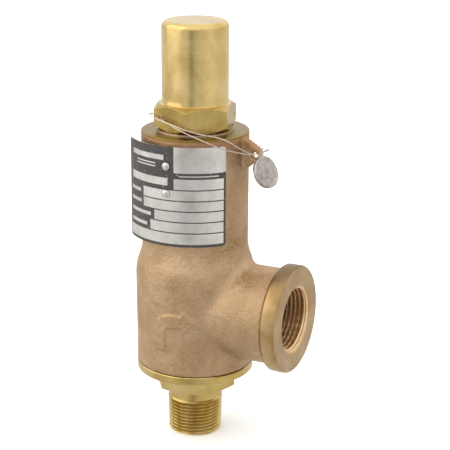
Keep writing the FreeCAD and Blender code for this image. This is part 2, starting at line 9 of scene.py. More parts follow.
# %% Load the frame
import math
import bmesh
import bpy
import numpy as np
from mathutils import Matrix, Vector


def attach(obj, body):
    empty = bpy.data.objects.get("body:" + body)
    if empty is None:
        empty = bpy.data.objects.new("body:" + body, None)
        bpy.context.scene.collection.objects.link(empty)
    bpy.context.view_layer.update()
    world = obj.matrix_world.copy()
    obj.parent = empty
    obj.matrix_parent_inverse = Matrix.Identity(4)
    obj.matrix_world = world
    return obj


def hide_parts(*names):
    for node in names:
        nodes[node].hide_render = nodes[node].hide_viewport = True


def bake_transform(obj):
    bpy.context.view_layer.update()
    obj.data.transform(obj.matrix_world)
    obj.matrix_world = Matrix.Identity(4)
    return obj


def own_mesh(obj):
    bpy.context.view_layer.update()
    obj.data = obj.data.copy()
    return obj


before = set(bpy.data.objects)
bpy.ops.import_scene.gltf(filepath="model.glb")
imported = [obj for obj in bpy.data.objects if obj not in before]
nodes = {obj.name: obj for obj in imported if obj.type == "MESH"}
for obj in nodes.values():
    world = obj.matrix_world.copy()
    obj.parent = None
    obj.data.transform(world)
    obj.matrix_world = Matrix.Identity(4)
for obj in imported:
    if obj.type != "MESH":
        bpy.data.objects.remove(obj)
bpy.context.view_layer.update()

# %% [markdown]
# ## Camera
# The valve is seen from slightly above, with the outlet turned to the right.  A long
# lens from about 0.7 m keeps the vertical edges nearly parallel.  The camera is placed
# by azimuth and elevation round a point half way up, which is easier to correct than
# loose coordinates.

# %% Camera
AZIMUTH = math.radians(27.08)
ELEVATION = math.radians(17.76)
DISTANCE = 0.6849
AIM = Vector((0, 0, 0.1))
LENS_MM = 112
SHIFT = (0.0661, 0.0302)

camera = bpy.data.objects.new("camera", bpy.data.cameras.new("camera"))
backward = Vector((math.sin(AZIMUTH) * math.cos(ELEVATION),
                   -math.cos(AZIMUTH) * math.cos(ELEVATION), math.sin(ELEVATION)))
camera.location = AIM + backward * DISTANCE
camera.rotation_euler = backward.to_track_quat("Z", "Y").to_euler()
camera.data.lens = LENS_MM
camera.data.sensor_width = 36
camera.data.shift_x, camera.data.shift_y = SHIFT
bpy.context.scene.collection.objects.link(camera)
bpy.context.scene.camera = camera
bpy.context.scene.view_settings.view_transform = "Standard"
print("camera at", [round(v, 3) for v in camera.location])

# %% [markdown]
# ## Colours and nodes
# Colours are written as the sRGB hex values that a colour picker shows.  Blender mixes
# light in linear numbers, so one function turns the first into the second.  A second
# function adds any shader node with its settings and links.

# %% Helpers for materials
def paint(code):
    """sRGB hex to linear: the lower part is a straight line, the rest a power of 2.4."""
    srgb = np.array([int(code[k:k + 2], 16) for k in (1, 3, 5)]) / 255
    linear = np.where(srgb <= 0.04045, srgb / 12.92, ((srgb + 0.055) / 1.055) ** 2.4)
    return (*linear.tolist(), 1.0)


def add(tree, kind, inputs=None, stops=None, **settings):
    """Add a node.  An input takes a value or another node's output; stops fill a ramp."""
    node = tree.nodes.new("ShaderNode" + kind)
    for key, value in settings.items():
        setattr(node, key, value)
    for key, value in (inputs or {}).items():
        if isinstance(value, bpy.types.NodeSocket):
            tree.links.new(value, node.inputs[key])
        else:
            node.inputs[key].default_value = value
    for number, (position, code) in enumerate(stops or []):
        elements = node.color_ramp.elements
        element = elements[number] if number < len(elements) else elements.new(position)
        element.position = position
        element.color = paint(code)
    return node


def start_material(name, **shader):
    """New material with its shader's constants set; returns material, tree and shader."""
    material = bpy.data.materials.new(name)
    material.use_nodes = True
    tree = material.node_tree
    principled = tree.nodes["Principled BSDF"]
    for key, value in shader.items():
        principled.inputs[key.replace("_", " ")].default_value = value
    return material, tree, principled


print("bronze mid tone in linear light", paint("#BE9C78"))

# %% [markdown]
# ## Light
# Polished brass shows its surroundings, so the surroundings are the light.  The world
# is a pale studio whose brightness changes with the compass direction.  One narrow
# darker card near the camera draws the dark line down the round cap, and the tone climbs
# again slowly towards the right, which rounds the cap and the body.  One broad lamp from
# the upper left adds shape.  A world of this kind needs no objects that could get in the
# way.

# %% World, lamp and floor
world = bpy.data.worlds.new("studio")
world.use_nodes = True
bpy.context.scene.world = world
sky = world.node_tree
direction = add(sky, "SeparateXYZ", {0: add(sky, "TexCoord").outputs["Generated"]})
southward = add(sky, "Math", {0: direction.outputs[1], 1: -1.0}, operation="MULTIPLY")
compass = add(sky, "Math", {0: direction.outputs[0], 1: southward.outputs[0]},
              operation="ARCTAN2")
relative = add(sky, "Math", {0: compass.outputs[0], 1: AZIMUTH}, operation="SUBTRACT")
wrapped = add(sky, "Math", {0: relative.outputs[0], 1: math.pi, 2: -math.pi},
              operation="WRAP")
turn = add(sky, "MapRange", {0: wrapped.outputs[0], 1: -math.pi, 2: math.pi})
cards = add(sky, "ValToRGB", {0: turn.outputs[0]}, stops=[
    (0.000, "#EFEFEF"), (0.222, "#ECECEC"), (0.389, "#F0F0F0"), (0.431, "#E2E2E2"),
    (0.464, "#9E9E9E"), (0.489, "#CBCBCB"), (0.522, "#DDDDDD"), (0.583, "#EDEDED"),
    (0.667, "#FFFFFF"), (0.722, "#EFEFEF"), (0.806, "#ECECEC")])
height = add(sky, "MapRange", {0: direction.outputs[2], 1: 0.05, 2: 0.5})
dome = add(sky, "Mix", {0: height.outputs[0], 6: cards.outputs[0], 7: (1.25, 1.25, 1.24, 1)},
           data_type="RGBA")
seen = add(sky, "LightPath")
shown = add(sky, "Mix", {0: seen.outputs["Is Camera Ray"], 6: dome.outputs[2],
                         7: paint("#FFFFFF")}, data_type="RGBA")
background = sky.nodes["Background"]
sky.links.new(shown.outputs[2], background.inputs["Color"])
background.inputs["Strength"].default_value = 1.08


def area_lamp(name, place, size, watts):
    """Square lamp at place, turned towards the middle of the valve."""
    lamp = bpy.data.objects.new(name, bpy.data.lights.new(name, "AREA"))
    lamp.location = place
    lamp.rotation_euler = (Vector(place) - AIM).to_track_quat("Z", "Y").to_euler()
    lamp.data.size = size
    lamp.data.energy = watts
    bpy.context.scene.collection.objects.link(lamp)


area_lamp("key_lamp", (-0.78, -0.58, 0.60), 1.4, 5.5)

FLOOR_HALF = 3.0
floor_mesh = bpy.data.meshes.new("floor")
floor_mesh.from_pydata([(-FLOOR_HALF, -FLOOR_HALF, 0), (FLOOR_HALF, -FLOOR_HALF, 0),
                        (FLOOR_HALF, FLOOR_HALF, 0), (-FLOOR_HALF, FLOOR_HALF, 0)],
                       [], [(0, 1, 2, 3)])
floor = bpy.data.objects.new("floor", floor_mesh)
bpy.context.scene.collection.objects.link(floor)
paper, _, _ = start_material("matt white paper", Base_Color=paint("#F8F8F7"), Roughness=0.9,
                             Emission_Color=paint("#FFFFFF"), Emission_Strength=0.16)
floor_mesh.materials.append(paper)
floor.visible_glossy = False     # metal shows the studio, not the paper
print("world turns round azimuth", round(math.degrees(AZIMUTH), 1))

# %% [markdown]
# ## Metals
# Every metal here keeps metallic at 1 and the default IOR, so its colour is the colour
# of its reflection.  What tells the metals apart is the surface: a lathe leaves fine
# grooves round the axis, a milling cutter leaves straight ones, sand leaves a leathery
# grain.  A turned surface gets its grooves from noise read at (radius, height), which
# gives circles on an end face and level lines on a side, whatever the shape.

# %% Turned metal
def turned_metal(name, colours, groove_mm, depth_mm, roughness, axis="Z", centre=(0, 0, 0),
                 flats=None):
    """Lathe finish: noise read at distance from the axis and height along it.

    flats gives the heights in millimetres between which the surface is milled, so only
    the height is read there and the lines stay level across the flats."""
    material, tree, shader = start_material(name, Metallic=1.0)
    place = add(tree, "TexCoord").outputs["Object"]
    local = add(tree, "Mapping", {0: place, 1: [-c / 1000 for c in centre]})
    parts = add(tree, "SeparateXYZ", {0: local.outputs[0]})
    along, first, second = {"Z": (2, 0, 1), "X": (0, 1, 2)}[axis]
    across = add(tree, "CombineXYZ", {0: parts.outputs[first], 1: parts.outputs[second]})
    radius = add(tree, "VectorMath", {0: across.outputs[0]}, operation="LENGTH")
    radial = radius.outputs["Value"]
    if flats:
        above = add(tree, "Math", {0: parts.outputs[along], 1: flats[0] / 1000},
                    operation="GREATER_THAN")
        below = add(tree, "Math", {0: parts.outputs[along], 1: flats[1] / 1000},
                    operation="LESS_THAN")
        milled = add(tree, "Math", {0: above.outputs[0], 1: below.outputs[0]},
                     operation="MULTIPLY")
        left = add(tree, "Math", {0: 1.0, 1: milled.outputs[0]}, operation="SUBTRACT")
        radial = add(tree, "Math", {0: radial, 1: left.outputs[0]},
                     operation="MULTIPLY").outputs[0]
    profile = add(tree, "CombineXYZ", {0: radial, 1: parts.outputs[along]})
    grooves = add(tree, "TexNoise", {"Vector": profile.outputs[0],
                                     "Scale": 1000 / groove_mm, "Detail": 3.0,
                                     "Roughness": 0.7}, noise_dimensions="2D")
    bump = add(tree, "Bump", {"Height": grooves.outputs[0], "Strength": 1.0,
                              "Distance": depth_mm / 1000})
    tree.links.new(bump.outputs[0], shader.inputs["Normal"])
    tarnish = add(tree, "TexNoise", {"Vector": place, "Scale": 1000 / 14, "Detail": 5.0,
                                     "Roughness": 0.6, "Distortion": 0.4})
    tone = add(tree, "ValToRGB", {0: tarnish.outputs[0]}, stops=[
        (0.30, colours[0]), (0.50, colours[1]), (0.72, colours[2])])
    fine = add(tree, "MapRange", {0: grooves.outputs[0], 1: 0.3, 2: 0.7, 3: 0.94, 4: 1.04})
    colour = add(tree, "VectorMath", {0: tone.outputs[0], 3: fine.outputs[0]},
                 operation="SCALE")
    tree.links.new(colour.outputs[0], shader.inputs["Base Color"])
    sheen = add(tree, "MapRange", {0: tarnish.outputs[0], 1: 0.3, 2: 0.7,
                                   3: roughness - 0.05, 4: roughness + 0.07})
    tree.links.new(sheen.outputs[0], shader.inputs["Roughness"])
    return material


OUTLET_Z = 67.2                  # height of the outlet's axis in millimetres
OUTLET_AXIS = (0, 0, OUTLET_Z)
CAP_FLATS = (155.5, 168.3)       # heights between which the cap is milled
NOZZLE_FLATS = (24.6, 34.0)

# Turned brass of the cap: yellow, bright, grooves 0.25 mm apart.
CAP_BRASS = turned_metal("turned brass", ("#C2A466", "#D3B87A", "#DEC58C"),
                         0.25, 0.003, 0.20, flats=CAP_FLATS)
# The cap's hexagon keeps the cutter's lines and the browner tone that handling gives it.
HEX_BRASS = turned_metal("milled brass", ("#A0864A", "#B39A5C", "#C4AC70"),
                         0.50, 0.012, 0.27, flats=CAP_FLATS)
# The nozzle is turned from duller bar, with deeper grooves and a milled hexagon.
NOZZLE_BRASS = turned_metal("turned pale brass", ("#B09354", "#C2A868", "#D0BB88"),
                            0.30, 0.008, 0.30, flats=NOZZLE_FLATS)
# Collar and outlet thread are machined out of the casting, about the outlet's own axis.
COLLAR_BRONZE = turned_metal("machined bronze", ("#9A7A4C", "#AE8F62", "#C0A47A"),
                             0.35, 0.010, 0.30, axis="X", centre=OUTLET_AXIS)
# Painted fill light: the thread's base colour is set paler than the collar to brighten the
# bore.
THREAD_PAINTED_FILL = turned_metal("thread bronze with painted fill light", ("#C9A172", "#DDBA8E", "#EBCFA8"),
                             0.40, 0.006, 0.38, axis="X", centre=OUTLET_AXIS)
# The rim is faced with a coarse feed and has browned in the open.
RIM_BRONZE = turned_metal("faced bronze", ("#75602F", "#87723C", "#95814C"),
                          0.40, 0.012, 0.34)
# Ground stems and screws are nearly smooth and neutral grey.
STEEL = turned_metal("ground stainless steel", ("#9C9C9A", "#B4B4B2", "#C6C6C4"),
                     0.12, 0.003, 0.24)
# The guides and steps inside are plain turned brass that has lost its first shine.
INNER_BRASS = turned_metal("turned inner brass", ("#B08F50", "#C8AA68", "#D6BC80"),
                           0.25, 0.006, 0.30)
# The gasket is soft sheet, paler and duller after annealing.
GASKET = turned_metal("annealed brass sheet", ("#B59F82", "#CDBBA0", "#DCCDB6"),
                      0.60, 0.004, 0.38)
print("turned metals", len(bpy.data.materials))

# %% [markdown]
# ## Painted shade on the collar
# The top of the collar is darkened with painted shade, a dark brown tone.
# It fades in with height and stops at the collar's front face.  The painted shade goes
# between the finished colour and the shader of a material that already exists.

# %% Painted shade on the collar
def shadow_band(material, low, high, front, colour):
    """Mix painted shade in from height low to high, behind the plane x = front."""
    tree = material.node_tree
    shader = next(n for n in tree.nodes if n.type == "BSDF_PRINCIPLED")
    before = shader.inputs["Base Color"].links[0].from_socket
    place = add(tree, "TexCoord").outputs["Object"]
    parts = add(tree, "SeparateXYZ", {0: place})
    rise = add(tree, "MapRange", {0: parts.outputs[2], 1: low / 1000, 2: high / 1000,
                                  3: 0.0, 4: 0.75})
    behind = add(tree, "Math", {0: parts.outputs[0], 1: front / 1000},
                 operation="LESS_THAN")
    share = add(tree, "Math", {0: rise.outputs[0], 1: behind.outputs[0]},
                operation="MULTIPLY")
    mixed = add(tree, "Mix", {0: share.outputs[0], 6: before, 7: paint(colour)},
                data_type="RGBA")
    tree.links.new(mixed.outputs[2], shader.inputs["Base Color"])


# Painted shade: a dark brown tone laid over the top of the collar.
shadow_band(COLLAR_BRONZE, 86.5, 92.0, 53.9, "#62523C")
print("film added to", COLLAR_BRONZE.name)

# %% [markdown]
# ## Sand-cast bronze
# Molten bronze takes the print of the sand grains, and a tumbling barrel then rounds
# the grain over.  What the eye gets is a leathery skin of grain one to two millimetres
# wide, broad patches of pinker and browner tan, and small dark pores.  Noises at those
# real sizes are layered, and their bumps follow one another, the coarsest first.

# %% Cast bronze
def cast_bronze():
    """Broad tone patches, grain, pores and a band under the rim that is mostly painted shade,
    all read at object coordinates.
    """
    material, tree, shader = start_material("tumbled cast bronze", Metallic=1.0)
    place = add(tree, "TexCoord").outputs["Object"]
    patches = add(tree, "TexNoise", {"Vector": place, "Scale": 1000 / 14, "Detail": 6.0,
                                     "Roughness": 0.62, "Distortion": 0.3})
    tone = add(tree, "ValToRGB", {0: patches.outputs[0]}, stops=[
        (0.28, "#A98A69"), (0.45, "#B79975"), (0.60, "#C1A482"), (0.75, "#CBB191")])
    grain = add(tree, "TexNoise", {"Vector": place, "Scale": 1000 / 1.0, "Detail": 3.0,
                                   "Roughness": 0.6})
    speck = add(tree, "MapRange", {0: grain.outputs[0], 1: 0.32, 2: 0.68, 3: 0.86, 4: 1.10})
    colour = add(tree, "VectorMath", {0: tone.outputs[0], 3: speck.outputs[0]},
                 operation="SCALE")
    cells = add(tree, "TexVoronoi", {"Vector": place, "Scale": 1000 / 2.6})
    pore = add(tree, "MapRange", {0: cells.outputs["Distance"], 1: 0.05, 2: 0.16,
                                  3: 1.0, 4: 0.0})
    gate = add(tree, "TexNoise", {"Vector": place, "Scale": 1000 / 7, "Detail": 1.0})
    rare = add(tree, "MapRange", {0: gate.outputs[0], 1: 0.52, 2: 0.60})
    pits = add(tree, "Math", {0: pore.outputs[0], 1: rare.outputs[0]}, operation="MULTIPLY")
    # Below the rim and cap a copper brown is mixed in: mostly painted shade from the
    # overhang, partly the casting's own darker copper.
    height = add(tree, "SeparateXYZ", {0: place}).outputs[2]
    under_rim_mask = add(tree, "MapRange", {0: height, 1: 0.144, 2: 0.154})
    shade_and_copper_share = add(tree, "Math", {0: under_rim_mask.outputs[0], 1: patches.outputs[0]},
                 operation="MULTIPLY")
    shade_and_copper = add(tree, "Mix", {0: shade_and_copper_share.outputs[0], 6: colour.outputs[0],
                                7: paint("#935E34")}, data_type="RGBA")
    shaded = add(tree, "Math", {0: pits.outputs[0], 1: 0.5}, operation="MULTIPLY")
    final = add(tree, "Mix", {0: shaded.outputs[0], 6: shade_and_copper.outputs[2],
                              7: paint("#6E4A2C")}, data_type="RGBA")
    tree.links.new(final.outputs[2], shader.inputs["Base Color"])
    lump = add(tree, "TexNoise", {"Vector": place, "Scale": 1000 / 1.9, "Detail": 2.0})
    coarse = add(tree, "Bump", {"Height": lump.outputs[0], "Strength": 1.0,
                                "Distance": 0.00036})
    bump = add(tree, "Bump", {"Height": grain.outputs[0], "Strength": 1.0,
                              "Distance": 0.00022, "Normal": coarse.outputs[0]})
    dents = add(tree, "Bump", {"Height": pits.outputs[0], "Strength": 1.0,
                               "Distance": 0.00008, "Normal": bump.outputs[0]},
                invert=True)
    tree.links.new(dents.outputs[0], shader.inputs["Normal"])
    sheen = add(tree, "MapRange", {0: grain.outputs[0], 1: 0.3, 2: 0.7, 3: 0.50, 4: 0.66})
    tree.links.new(sheen.outputs[0], shader.inputs["Roughness"])
    return material


CAST_BRONZE = cast_bronze()
print("made", CAST_BRONZE.name)

# %% [markdown]
# ## Dull metals, rubber and spring wire
# The remaining finishes share one recipe: two tones, one bump and a roughness, at a size
# that belongs to the stuff.  Lead is dull and dented, zinc plating is cool and slightly
# cloudy, moulded rubber is black and nearly smooth, seal wire is a silvery twist.

# %% Plain finishes
def plain_finish(name, colours, grain_mm, depth_mm, roughness, metallic):
    """Two noises: clouds for the tone, grain for the bump and the roughness."""
    material, tree, shader = start_material(name, Metallic=metallic)
    place = add(tree, "TexCoord").outputs["Object"]
    clouds = add(tree, "TexNoise", {"Vector": place, "Scale": 300 / grain_mm, "Detail": 4.0})
    grain = add(tree, "TexNoise", {"Vector": place, "Scale": 1000 / grain_mm, "Detail": 3.0})
    tone = add(tree, "ValToRGB", {0: clouds.outputs[0]}, stops=[
        (0.32, colours[0]), (0.68, colours[1])])
    fine = add(tree, "MapRange", {0: grain.outputs[0], 1: 0.3, 2: 0.7, 3: 0.88, 4: 1.1})
    colour = add(tree, "VectorMath", {0: tone.outputs[0], 3: fine.outputs[0]},
                 operation="SCALE")
    tree.links.new(colour.outputs[0], shader.inputs["Base Color"])
    bump = add(tree, "Bump", {"Height": grain.outputs[0], "Strength": 1.0,
                              "Distance": depth_mm / 1000})
    tree.links.new(bump.outputs[0], shader.inputs["Normal"])
    sheen = add(tree, "MapRange", {0: grain.outputs[0], 1: 0.3, 2: 0.7,
                                   3: roughness - 0.06, 4: roughness + 0.08})
    tree.links.new(sheen.outputs[0], shader.inputs["Roughness"])
    return material


LEAD = plain_finish("pressed lead", ("#978F89", "#BEB7B1"), 0.9, 0.05, 0.42, 1.0)
ZINC = plain_finish("zinc plated spring wire", ("#8E9296", "#B0B4B8"), 0.6, 0.01, 0.34, 1.0)
WIRE = plain_finish("twisted seal wire", ("#BFAE9C", "#E2D6C8"), 0.3, 0.01, 0.30, 1.0)
RUBBER = plain_finish("moulded black rubber", ("#161616", "#262625"), 0.8, 0.01, 0.55, 0.0)
DRIVE_STEEL = plain_finish("plated drive screw", ("#B8B4AC", "#DAD6CE"), 0.5, 0.02, 0.28, 1.0)
print("materials", len(bpy.data.materials))

# %% [markdown]
# ## Shapes from arrays
# A turned or milled piece is a stack of rings.  Each ring is one row of an array, and
# the faces are the four-cornered gaps between neighbours, so a whole piece is a few
# lines of array arithmetic.  Where a thread or a hexagon is wanted, the ring's radius is
# simply allowed to depend on the angle.

# %% Rings to mesh
MM = 0.001
AROUND = 240                     # points in one ring of a turned piece


def shell(rings, closed=False):
    """Faces between rows of rings; an open stack gets a many-sided cap at each end."""
    rows, count = rings.shape[:2]
    index = np.arange(rows * count).reshape(rows, count)
    lower = index if closed else index[:-1]
    upper = np.roll(index, -1, axis=0) if closed else index[1:]
    quads = np.stack([lower, np.roll(lower, -1, axis=1),
                      np.roll(upper, -1, axis=1), upper], axis=-1).reshape(-1, 4)
    caps = [] if closed else [index[0][::-1], index[-1]]
    return rings.reshape(-1, 3), quads, caps


def make_piece(name, shells, material, body, sharp=32):
    """One object at the origin from shells in millimetres, faces outwards, riding a body."""
    sizes = [len(points) for points, _, _ in shells]
    starts = np.concatenate([[0], np.cumsum(sizes)[:-1]])
    points = np.concatenate([p for p, _, _ in shells]) * MM
    quads = np.concatenate([q + s for (_, q, _), s in zip(shells, starts)])
    caps = [c + s for (_, _, cs), s in zip(shells, starts) for c in cs]
    corners = np.concatenate([quads.ravel(), *caps]).astype(np.int32)
    lengths = np.array([4] * len(quads) + [len(c) for c in caps])
    offsets = np.concatenate([[0], np.cumsum(lengths)[:-1]]).astype(np.int32)
    mesh = bpy.data.meshes.new(name)
    mesh.vertices.add(len(points))
    mesh.vertices.foreach_set("co", points.astype(np.float32).ravel())
    mesh.loops.add(len(corners))
    mesh.loops.foreach_set("vertex_index", corners)
    mesh.polygons.add(len(lengths))
    mesh.polygons.foreach_set("loop_start", offsets)
    mesh.update(calc_edges=True)
    return finish_mesh(name, mesh, material, body, sharp)


def finish_mesh(name, mesh, material, body, sharp=32):
    """Outward faces, smooth shading with crisp edges, a material, and a body to ride."""
    work = bmesh.new()
    work.from_mesh(mesh)
    bmesh.ops.recalc_face_normals(work, faces=work.faces)
    work.to_mesh(mesh)
    work.free()
    mesh.polygons.foreach_set("use_smooth", np.ones(len(mesh.polygons), dtype=bool))
    mesh.set_sharp_from_angle(angle=math.radians(sharp))
    mesh.materials.append(material)
    piece = bpy.data.objects.new(name, mesh)
    bpy.context.scene.collection.objects.link(piece)
    if body:
        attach(piece, body)
    print(name, "faces", len(mesh.polygons))
    return piece


def second_finish(piece, material, test):
    """Give the faces whose centres pass the test a second material of their own."""
    piece.data.materials.append(material)
    faces = piece.data.polygons
    middle = np.empty(len(faces) * 3, dtype=np.float32)
    faces.foreach_get("center", middle)
    chosen = test(*(middle.reshape(-1, 3).T / MM))
    faces.foreach_set("material_index", chosen.astype(np.int32))
    print(piece.name, material.name, int(chosen.sum()), "faces")


def around_z(radius, height, corner=0.0, count=AROUND):
    """Rings about Z.  radius and height are rows, or rows by angles for odd shapes.

    The first point of a ring is at that corner's azimuth, from -Y towards +X."""
    azimuth = math.radians(corner) + np.arange(count) * 2 * np.pi / count
    radius = np.broadcast_to(np.asarray(radius).reshape(len(height), -1),
                             (len(height), count))
    level = np.broadcast_to(np.asarray(height).reshape(len(height), -1),
                            (len(height), count))
    return np.stack([radius * np.sin(azimuth), -radius * np.cos(azimuth), level], axis=-1)


def hexagon_radius(across, count=AROUND):
    """Distance to the side of a hexagon: half the width over the cosine from its flat."""
    azimuth = np.arange(count) * 2 * np.pi / count
    from_flat = (azimuth % (np.pi / 3)) - np.pi / 6
    return across / 2 / np.cos(from_flat)


def thread_depth(height, pitch, depth, low, high, count=AROUND):
    """Depth of a sixty-degree groove that winds up to the right by one pitch a turn.

    It fades out over the last pitch at each end."""
    azimuth = np.arange(count) / count
    phase = (height[:, None] / pitch - azimuth[None, :]) % 1.0
    from_crest = 1 - np.abs(phase - 0.5) * 2
    groove = np.clip((from_crest - 0.14) / 0.74, 0, 1)
    lead_in = np.clip((height - low) / pitch, 0, 1)
    run_out = np.clip((high - height) / pitch, 0, 1)
    return depth * groove * (lead_in * run_out)[:, None]


def rows_of(pairs):
    """Split (radius, height) pairs into rows of equal radii and a row of heights."""
    table = np.array(pairs)
    return np.repeat(table[:, :1], AROUND, axis=1), table[:, 1]


def rings_of(parts, corner=0.0):
    """Lay parts of a profile, each (radii, heights), one after another about Z."""
    radii = np.concatenate([radius for radius, _ in parts])
    heights = np.concatenate([height for _, height in parts])
    return around_z(radii, heights, corner=corner)


print("one ring of a 36.5 mm hexagon", hexagon_radius(36.5).round(1)[:4])

# %% [markdown]
# ## Inlet nozzle
# The nozzle is turned from hexagon bar: a taper pipe thread that screws into the boiler,
# a wrench hexagon with its lower corners turned off, and a round flange that carries the
# body.  The taper and the helix are real here, because the winding thread is the first
# thing that shows at the foot of the valve.  One closed profile runs up the outside and
# back down the bore.

# %% Inlet nozzle
INLET_PITCH = 1.814
TAPER = 1 / 32                   # radius gained per millimetre of height
NOZZLE_TURN = 35.15              # azimuth of one corner of its hexagon, in degrees

thread_z = np.arange(0.55, 18.4, INLET_PITCH / 14)
crest = 13.02 + thread_z * TAPER
cut = thread_depth(thread_z, INLET_PITCH, 1.28, 0.0, 18.9)
thread_r = np.minimum(crest[:, None] - cut, 12.15 + (thread_z[:, None]) * 1.4)

hex_z = np.concatenate([np.linspace(24.7, 25.95, 11), np.linspace(26.2, 34.1, 6)])
cone = 17.75 + (hex_z - 24.7) * 2.6
hex_r = np.minimum(hexagon_radius(36.5)[None, :], cone[:, None])

lower = [(9.9, 0.0), (12.1, 0.0), (12.2, 0.05), (12.75, 0.5)]
neck = [(13.3, 18.6), (13.05, 18.9), (13.0, 19.4), (13.0, 23.9), (13.2, 24.4), (13.7, 24.7),
        (17.2, 24.7)]
flange = [(18.6, 34.1), (28.1, 34.1), (28.5, 34.25), (28.8, 34.7), (28.8, 37.8),
          (28.5, 38.15), (24.3, 38.2), (24.3, 46.5), (23.3, 47.5), (15.5, 47.5), (14.0, 49.0),
          (14.0, 51.5), (13.0, 52.5), (9.2, 52.5), (8.5, 53.95), (8.35, 54.0), (7.25, 54.0),
          (7.2, 53.9), (7.2, 40.0), (9.7, 20.0), (9.7, 0.4)]

profile = [rows_of(lower), (thread_r, thread_z), rows_of(neck), (hex_r, hex_z),
           rows_of(flange)]
nozzle = make_piece("inlet_nozzle_turned",
                    [shell(rings_of(profile, corner=NOZZLE_TURN), closed=True)],
                    NOZZLE_BRASS, "valve", sharp=28)
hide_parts("inlet_nozzle")

# %% [markdown]
# ## Cap
# The cap is one piece of brass: a wrench hexagon with both ends chamfered, and a round
# barrel with a softened top edge.  The chamfers are a cone laid over the hexagon, so the
# curved line where they meet comes by itself from taking the smaller radius.  Two
# corners are drilled for the seal wire.

# %% Cap
HEX_LOW = 156.05
HEX_HIGH = 168.2
CAP_TURN = 13.5                  # azimuth of one corner of its hexagon, in degrees
HOLE_TURN = -46.5                # azimuth of the wired corner
HOLE_Z = 162.3
HOLE_OUT = 18.19                 # distance of both holes from the axis
foot_z = np.linspace(HEX_LOW, HEX_LOW + 2.4, 15)
head_z = np.linspace(HEX_HIGH - 2.0, HEX_HIGH, 15)
cap_hex_z = np.concatenate([foot_z, np.linspace(HEX_LOW + 3, HEX_HIGH - 2.6, 6), head_z])
cone = np.minimum(17.4 + (cap_hex_z - HEX_LOW) * 1.27, 17.4 + (HEX_HIGH - cap_hex_z) * 1.52)
cap_hex_r = np.minimum(hexagon_radius(35.4)[None, :], cone[:, None])

bend = np.linspace(np.pi / 2, 0, 13)
crown = [(0.4, 207.2), (4.0, 207.2), (9.0, 207.2)]
crown += np.stack([12.95 + 3 * np.cos(bend), 204.2 + 3 * np.sin(bend)], axis=1).tolist()
crown += [(15.95, z) for z in np.linspace(202, 171, 14)]
crown += [(15.95, 169.0), (16.1, 168.5), (16.5, 168.3), (17.1, 168.25)]
inside = [(15.5, HEX_LOW), (14.1, 157.0), (14.1, 166.0), (13.0, 166.8), (13.0, 201.2),
          (10.0, 204.2), (0.4, 204.2)]

profile = [rows_of(crown), (cap_hex_r[::-1], cap_hex_z[::-1]), rows_of(inside)]
cap = make_piece("cap_turned", [shell(rings_of(profile, corner=CAP_TURN))],
                 CAP_BRASS, "cap", sharp=28)
second_finish(cap, HEX_BRASS, lambda x, y, z: (np.hypot(x, y) > 14.6) & (z < 168.26))

# %% [markdown]
# ## Holes for the wire
# A round tube is the cutter for a drilled hole, and the same tube later makes the wire.
# A direction on the valve is given by its azimuth, as on a compass laid on the floor.

# %% Holes for the wire
def outward(azimuth):
    """Unit vector at an azimuth in degrees, from -Y towards +X."""
    return np.array([math.sin(math.radians(azimuth)), -math.cos(math.radians(azimuth)), 0])


def sideways(azimuth):
    """Unit vector along the circle at that azimuth."""
    return np.array([math.cos(math.radians(azimuth)), math.sin(math.radians(azimuth)), 0])


def tube_shell(path, radius, sides=12, turn=0.0, offset=0.0, twist_mm=1e9):
    """Round tube along a path: every ring is a circle across the path's own direction.

    With an offset the tube winds round the path, one turn for each twist_mm of length.
    The side direction is the cross product with the fixed direction that stays furthest
    from the path everywhere, so the rings never flip."""
    tangent = np.gradient(path, axis=0)
    tangent /= np.linalg.norm(tangent, axis=1, keepdims=True)
    steps = np.arange(300)
    lift = 1 - 2 * (steps + 0.5) / 300
    spin = steps * 2.399963
    flat = np.sqrt(1 - lift ** 2)
    choices = np.stack([flat * np.cos(spin), flat * np.sin(spin), lift], axis=1)
    room = np.linalg.norm(np.cross(tangent[:, None, :], choices[None, :, :]), axis=2)
    fixed = choices[np.argmax(room.min(axis=0))]
    side = np.cross(tangent, fixed)
    side /= np.linalg.norm(side, axis=1, keepdims=True)
    over = np.cross(tangent, side)
    length = np.concatenate([[0], np.cumsum(np.linalg.norm(np.diff(path, axis=0), axis=1))])
    wind = (turn + length / twist_mm * 2 * np.pi)[:, None]
    middle = path + offset * (side * np.cos(wind) + over * np.sin(wind))
    angle = np.arange(sides) * 2 * np.pi / sides
    ring = (side[:, None, :] * np.cos(angle)[None, :, None]
            + over[:, None, :] * np.sin(angle)[None, :, None])
    return shell(middle[:, None, :] + ring * radius)


def drill(piece, start, end, radius):
    """Cut a round hole from start to end with a tube as the cutter."""
    path = np.linspace(start, end, 3)
    tool = make_piece("drill", [tube_shell(path, radius, sides=24)],
                      piece.data.materials[0], "cap")
    cut = piece.modifiers.new("hole", "BOOLEAN")
    cut.object = tool
    cut.solver = "EXACT"
    graph = bpy.context.evaluated_depsgraph_get()
    drilled = bpy.data.meshes.new_from_object(piece.evaluated_get(graph))
    piece.modifiers.remove(cut)
    piece.data = drilled
    piece.data.set_sharp_from_angle(angle=math.radians(28))
    bpy.data.objects.remove(tool)


for azimuth in (HOLE_TURN, HOLE_TURN + 180):
    middle = outward(azimuth) * HOLE_OUT + np.array([0, 0, HOLE_Z])
    drill(cap, middle - sideways(azimuth) * 8, middle + sideways(azimuth) * 8, 0.9)
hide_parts("cap")
print("cap drilled, faces", len(cap.data.polygons))

# %% [markdown]
# ## Body casting
# The body leaves its sand mould with soft edges everywhere, and only its rim, its collar
# and its threads are machined afterwards.  The frame's solid has the right form but the
# edges of a machined part.  A copy of it is cut off below the rim and behind the
# collar, turned into an even net of small squares, and relaxed a little, which rounds
# every edge as a mould does.

# %% Cast skin
VOXEL_MM = 0.75
RIM_CUT = 154.55
COLLAR_CUT = 45.72


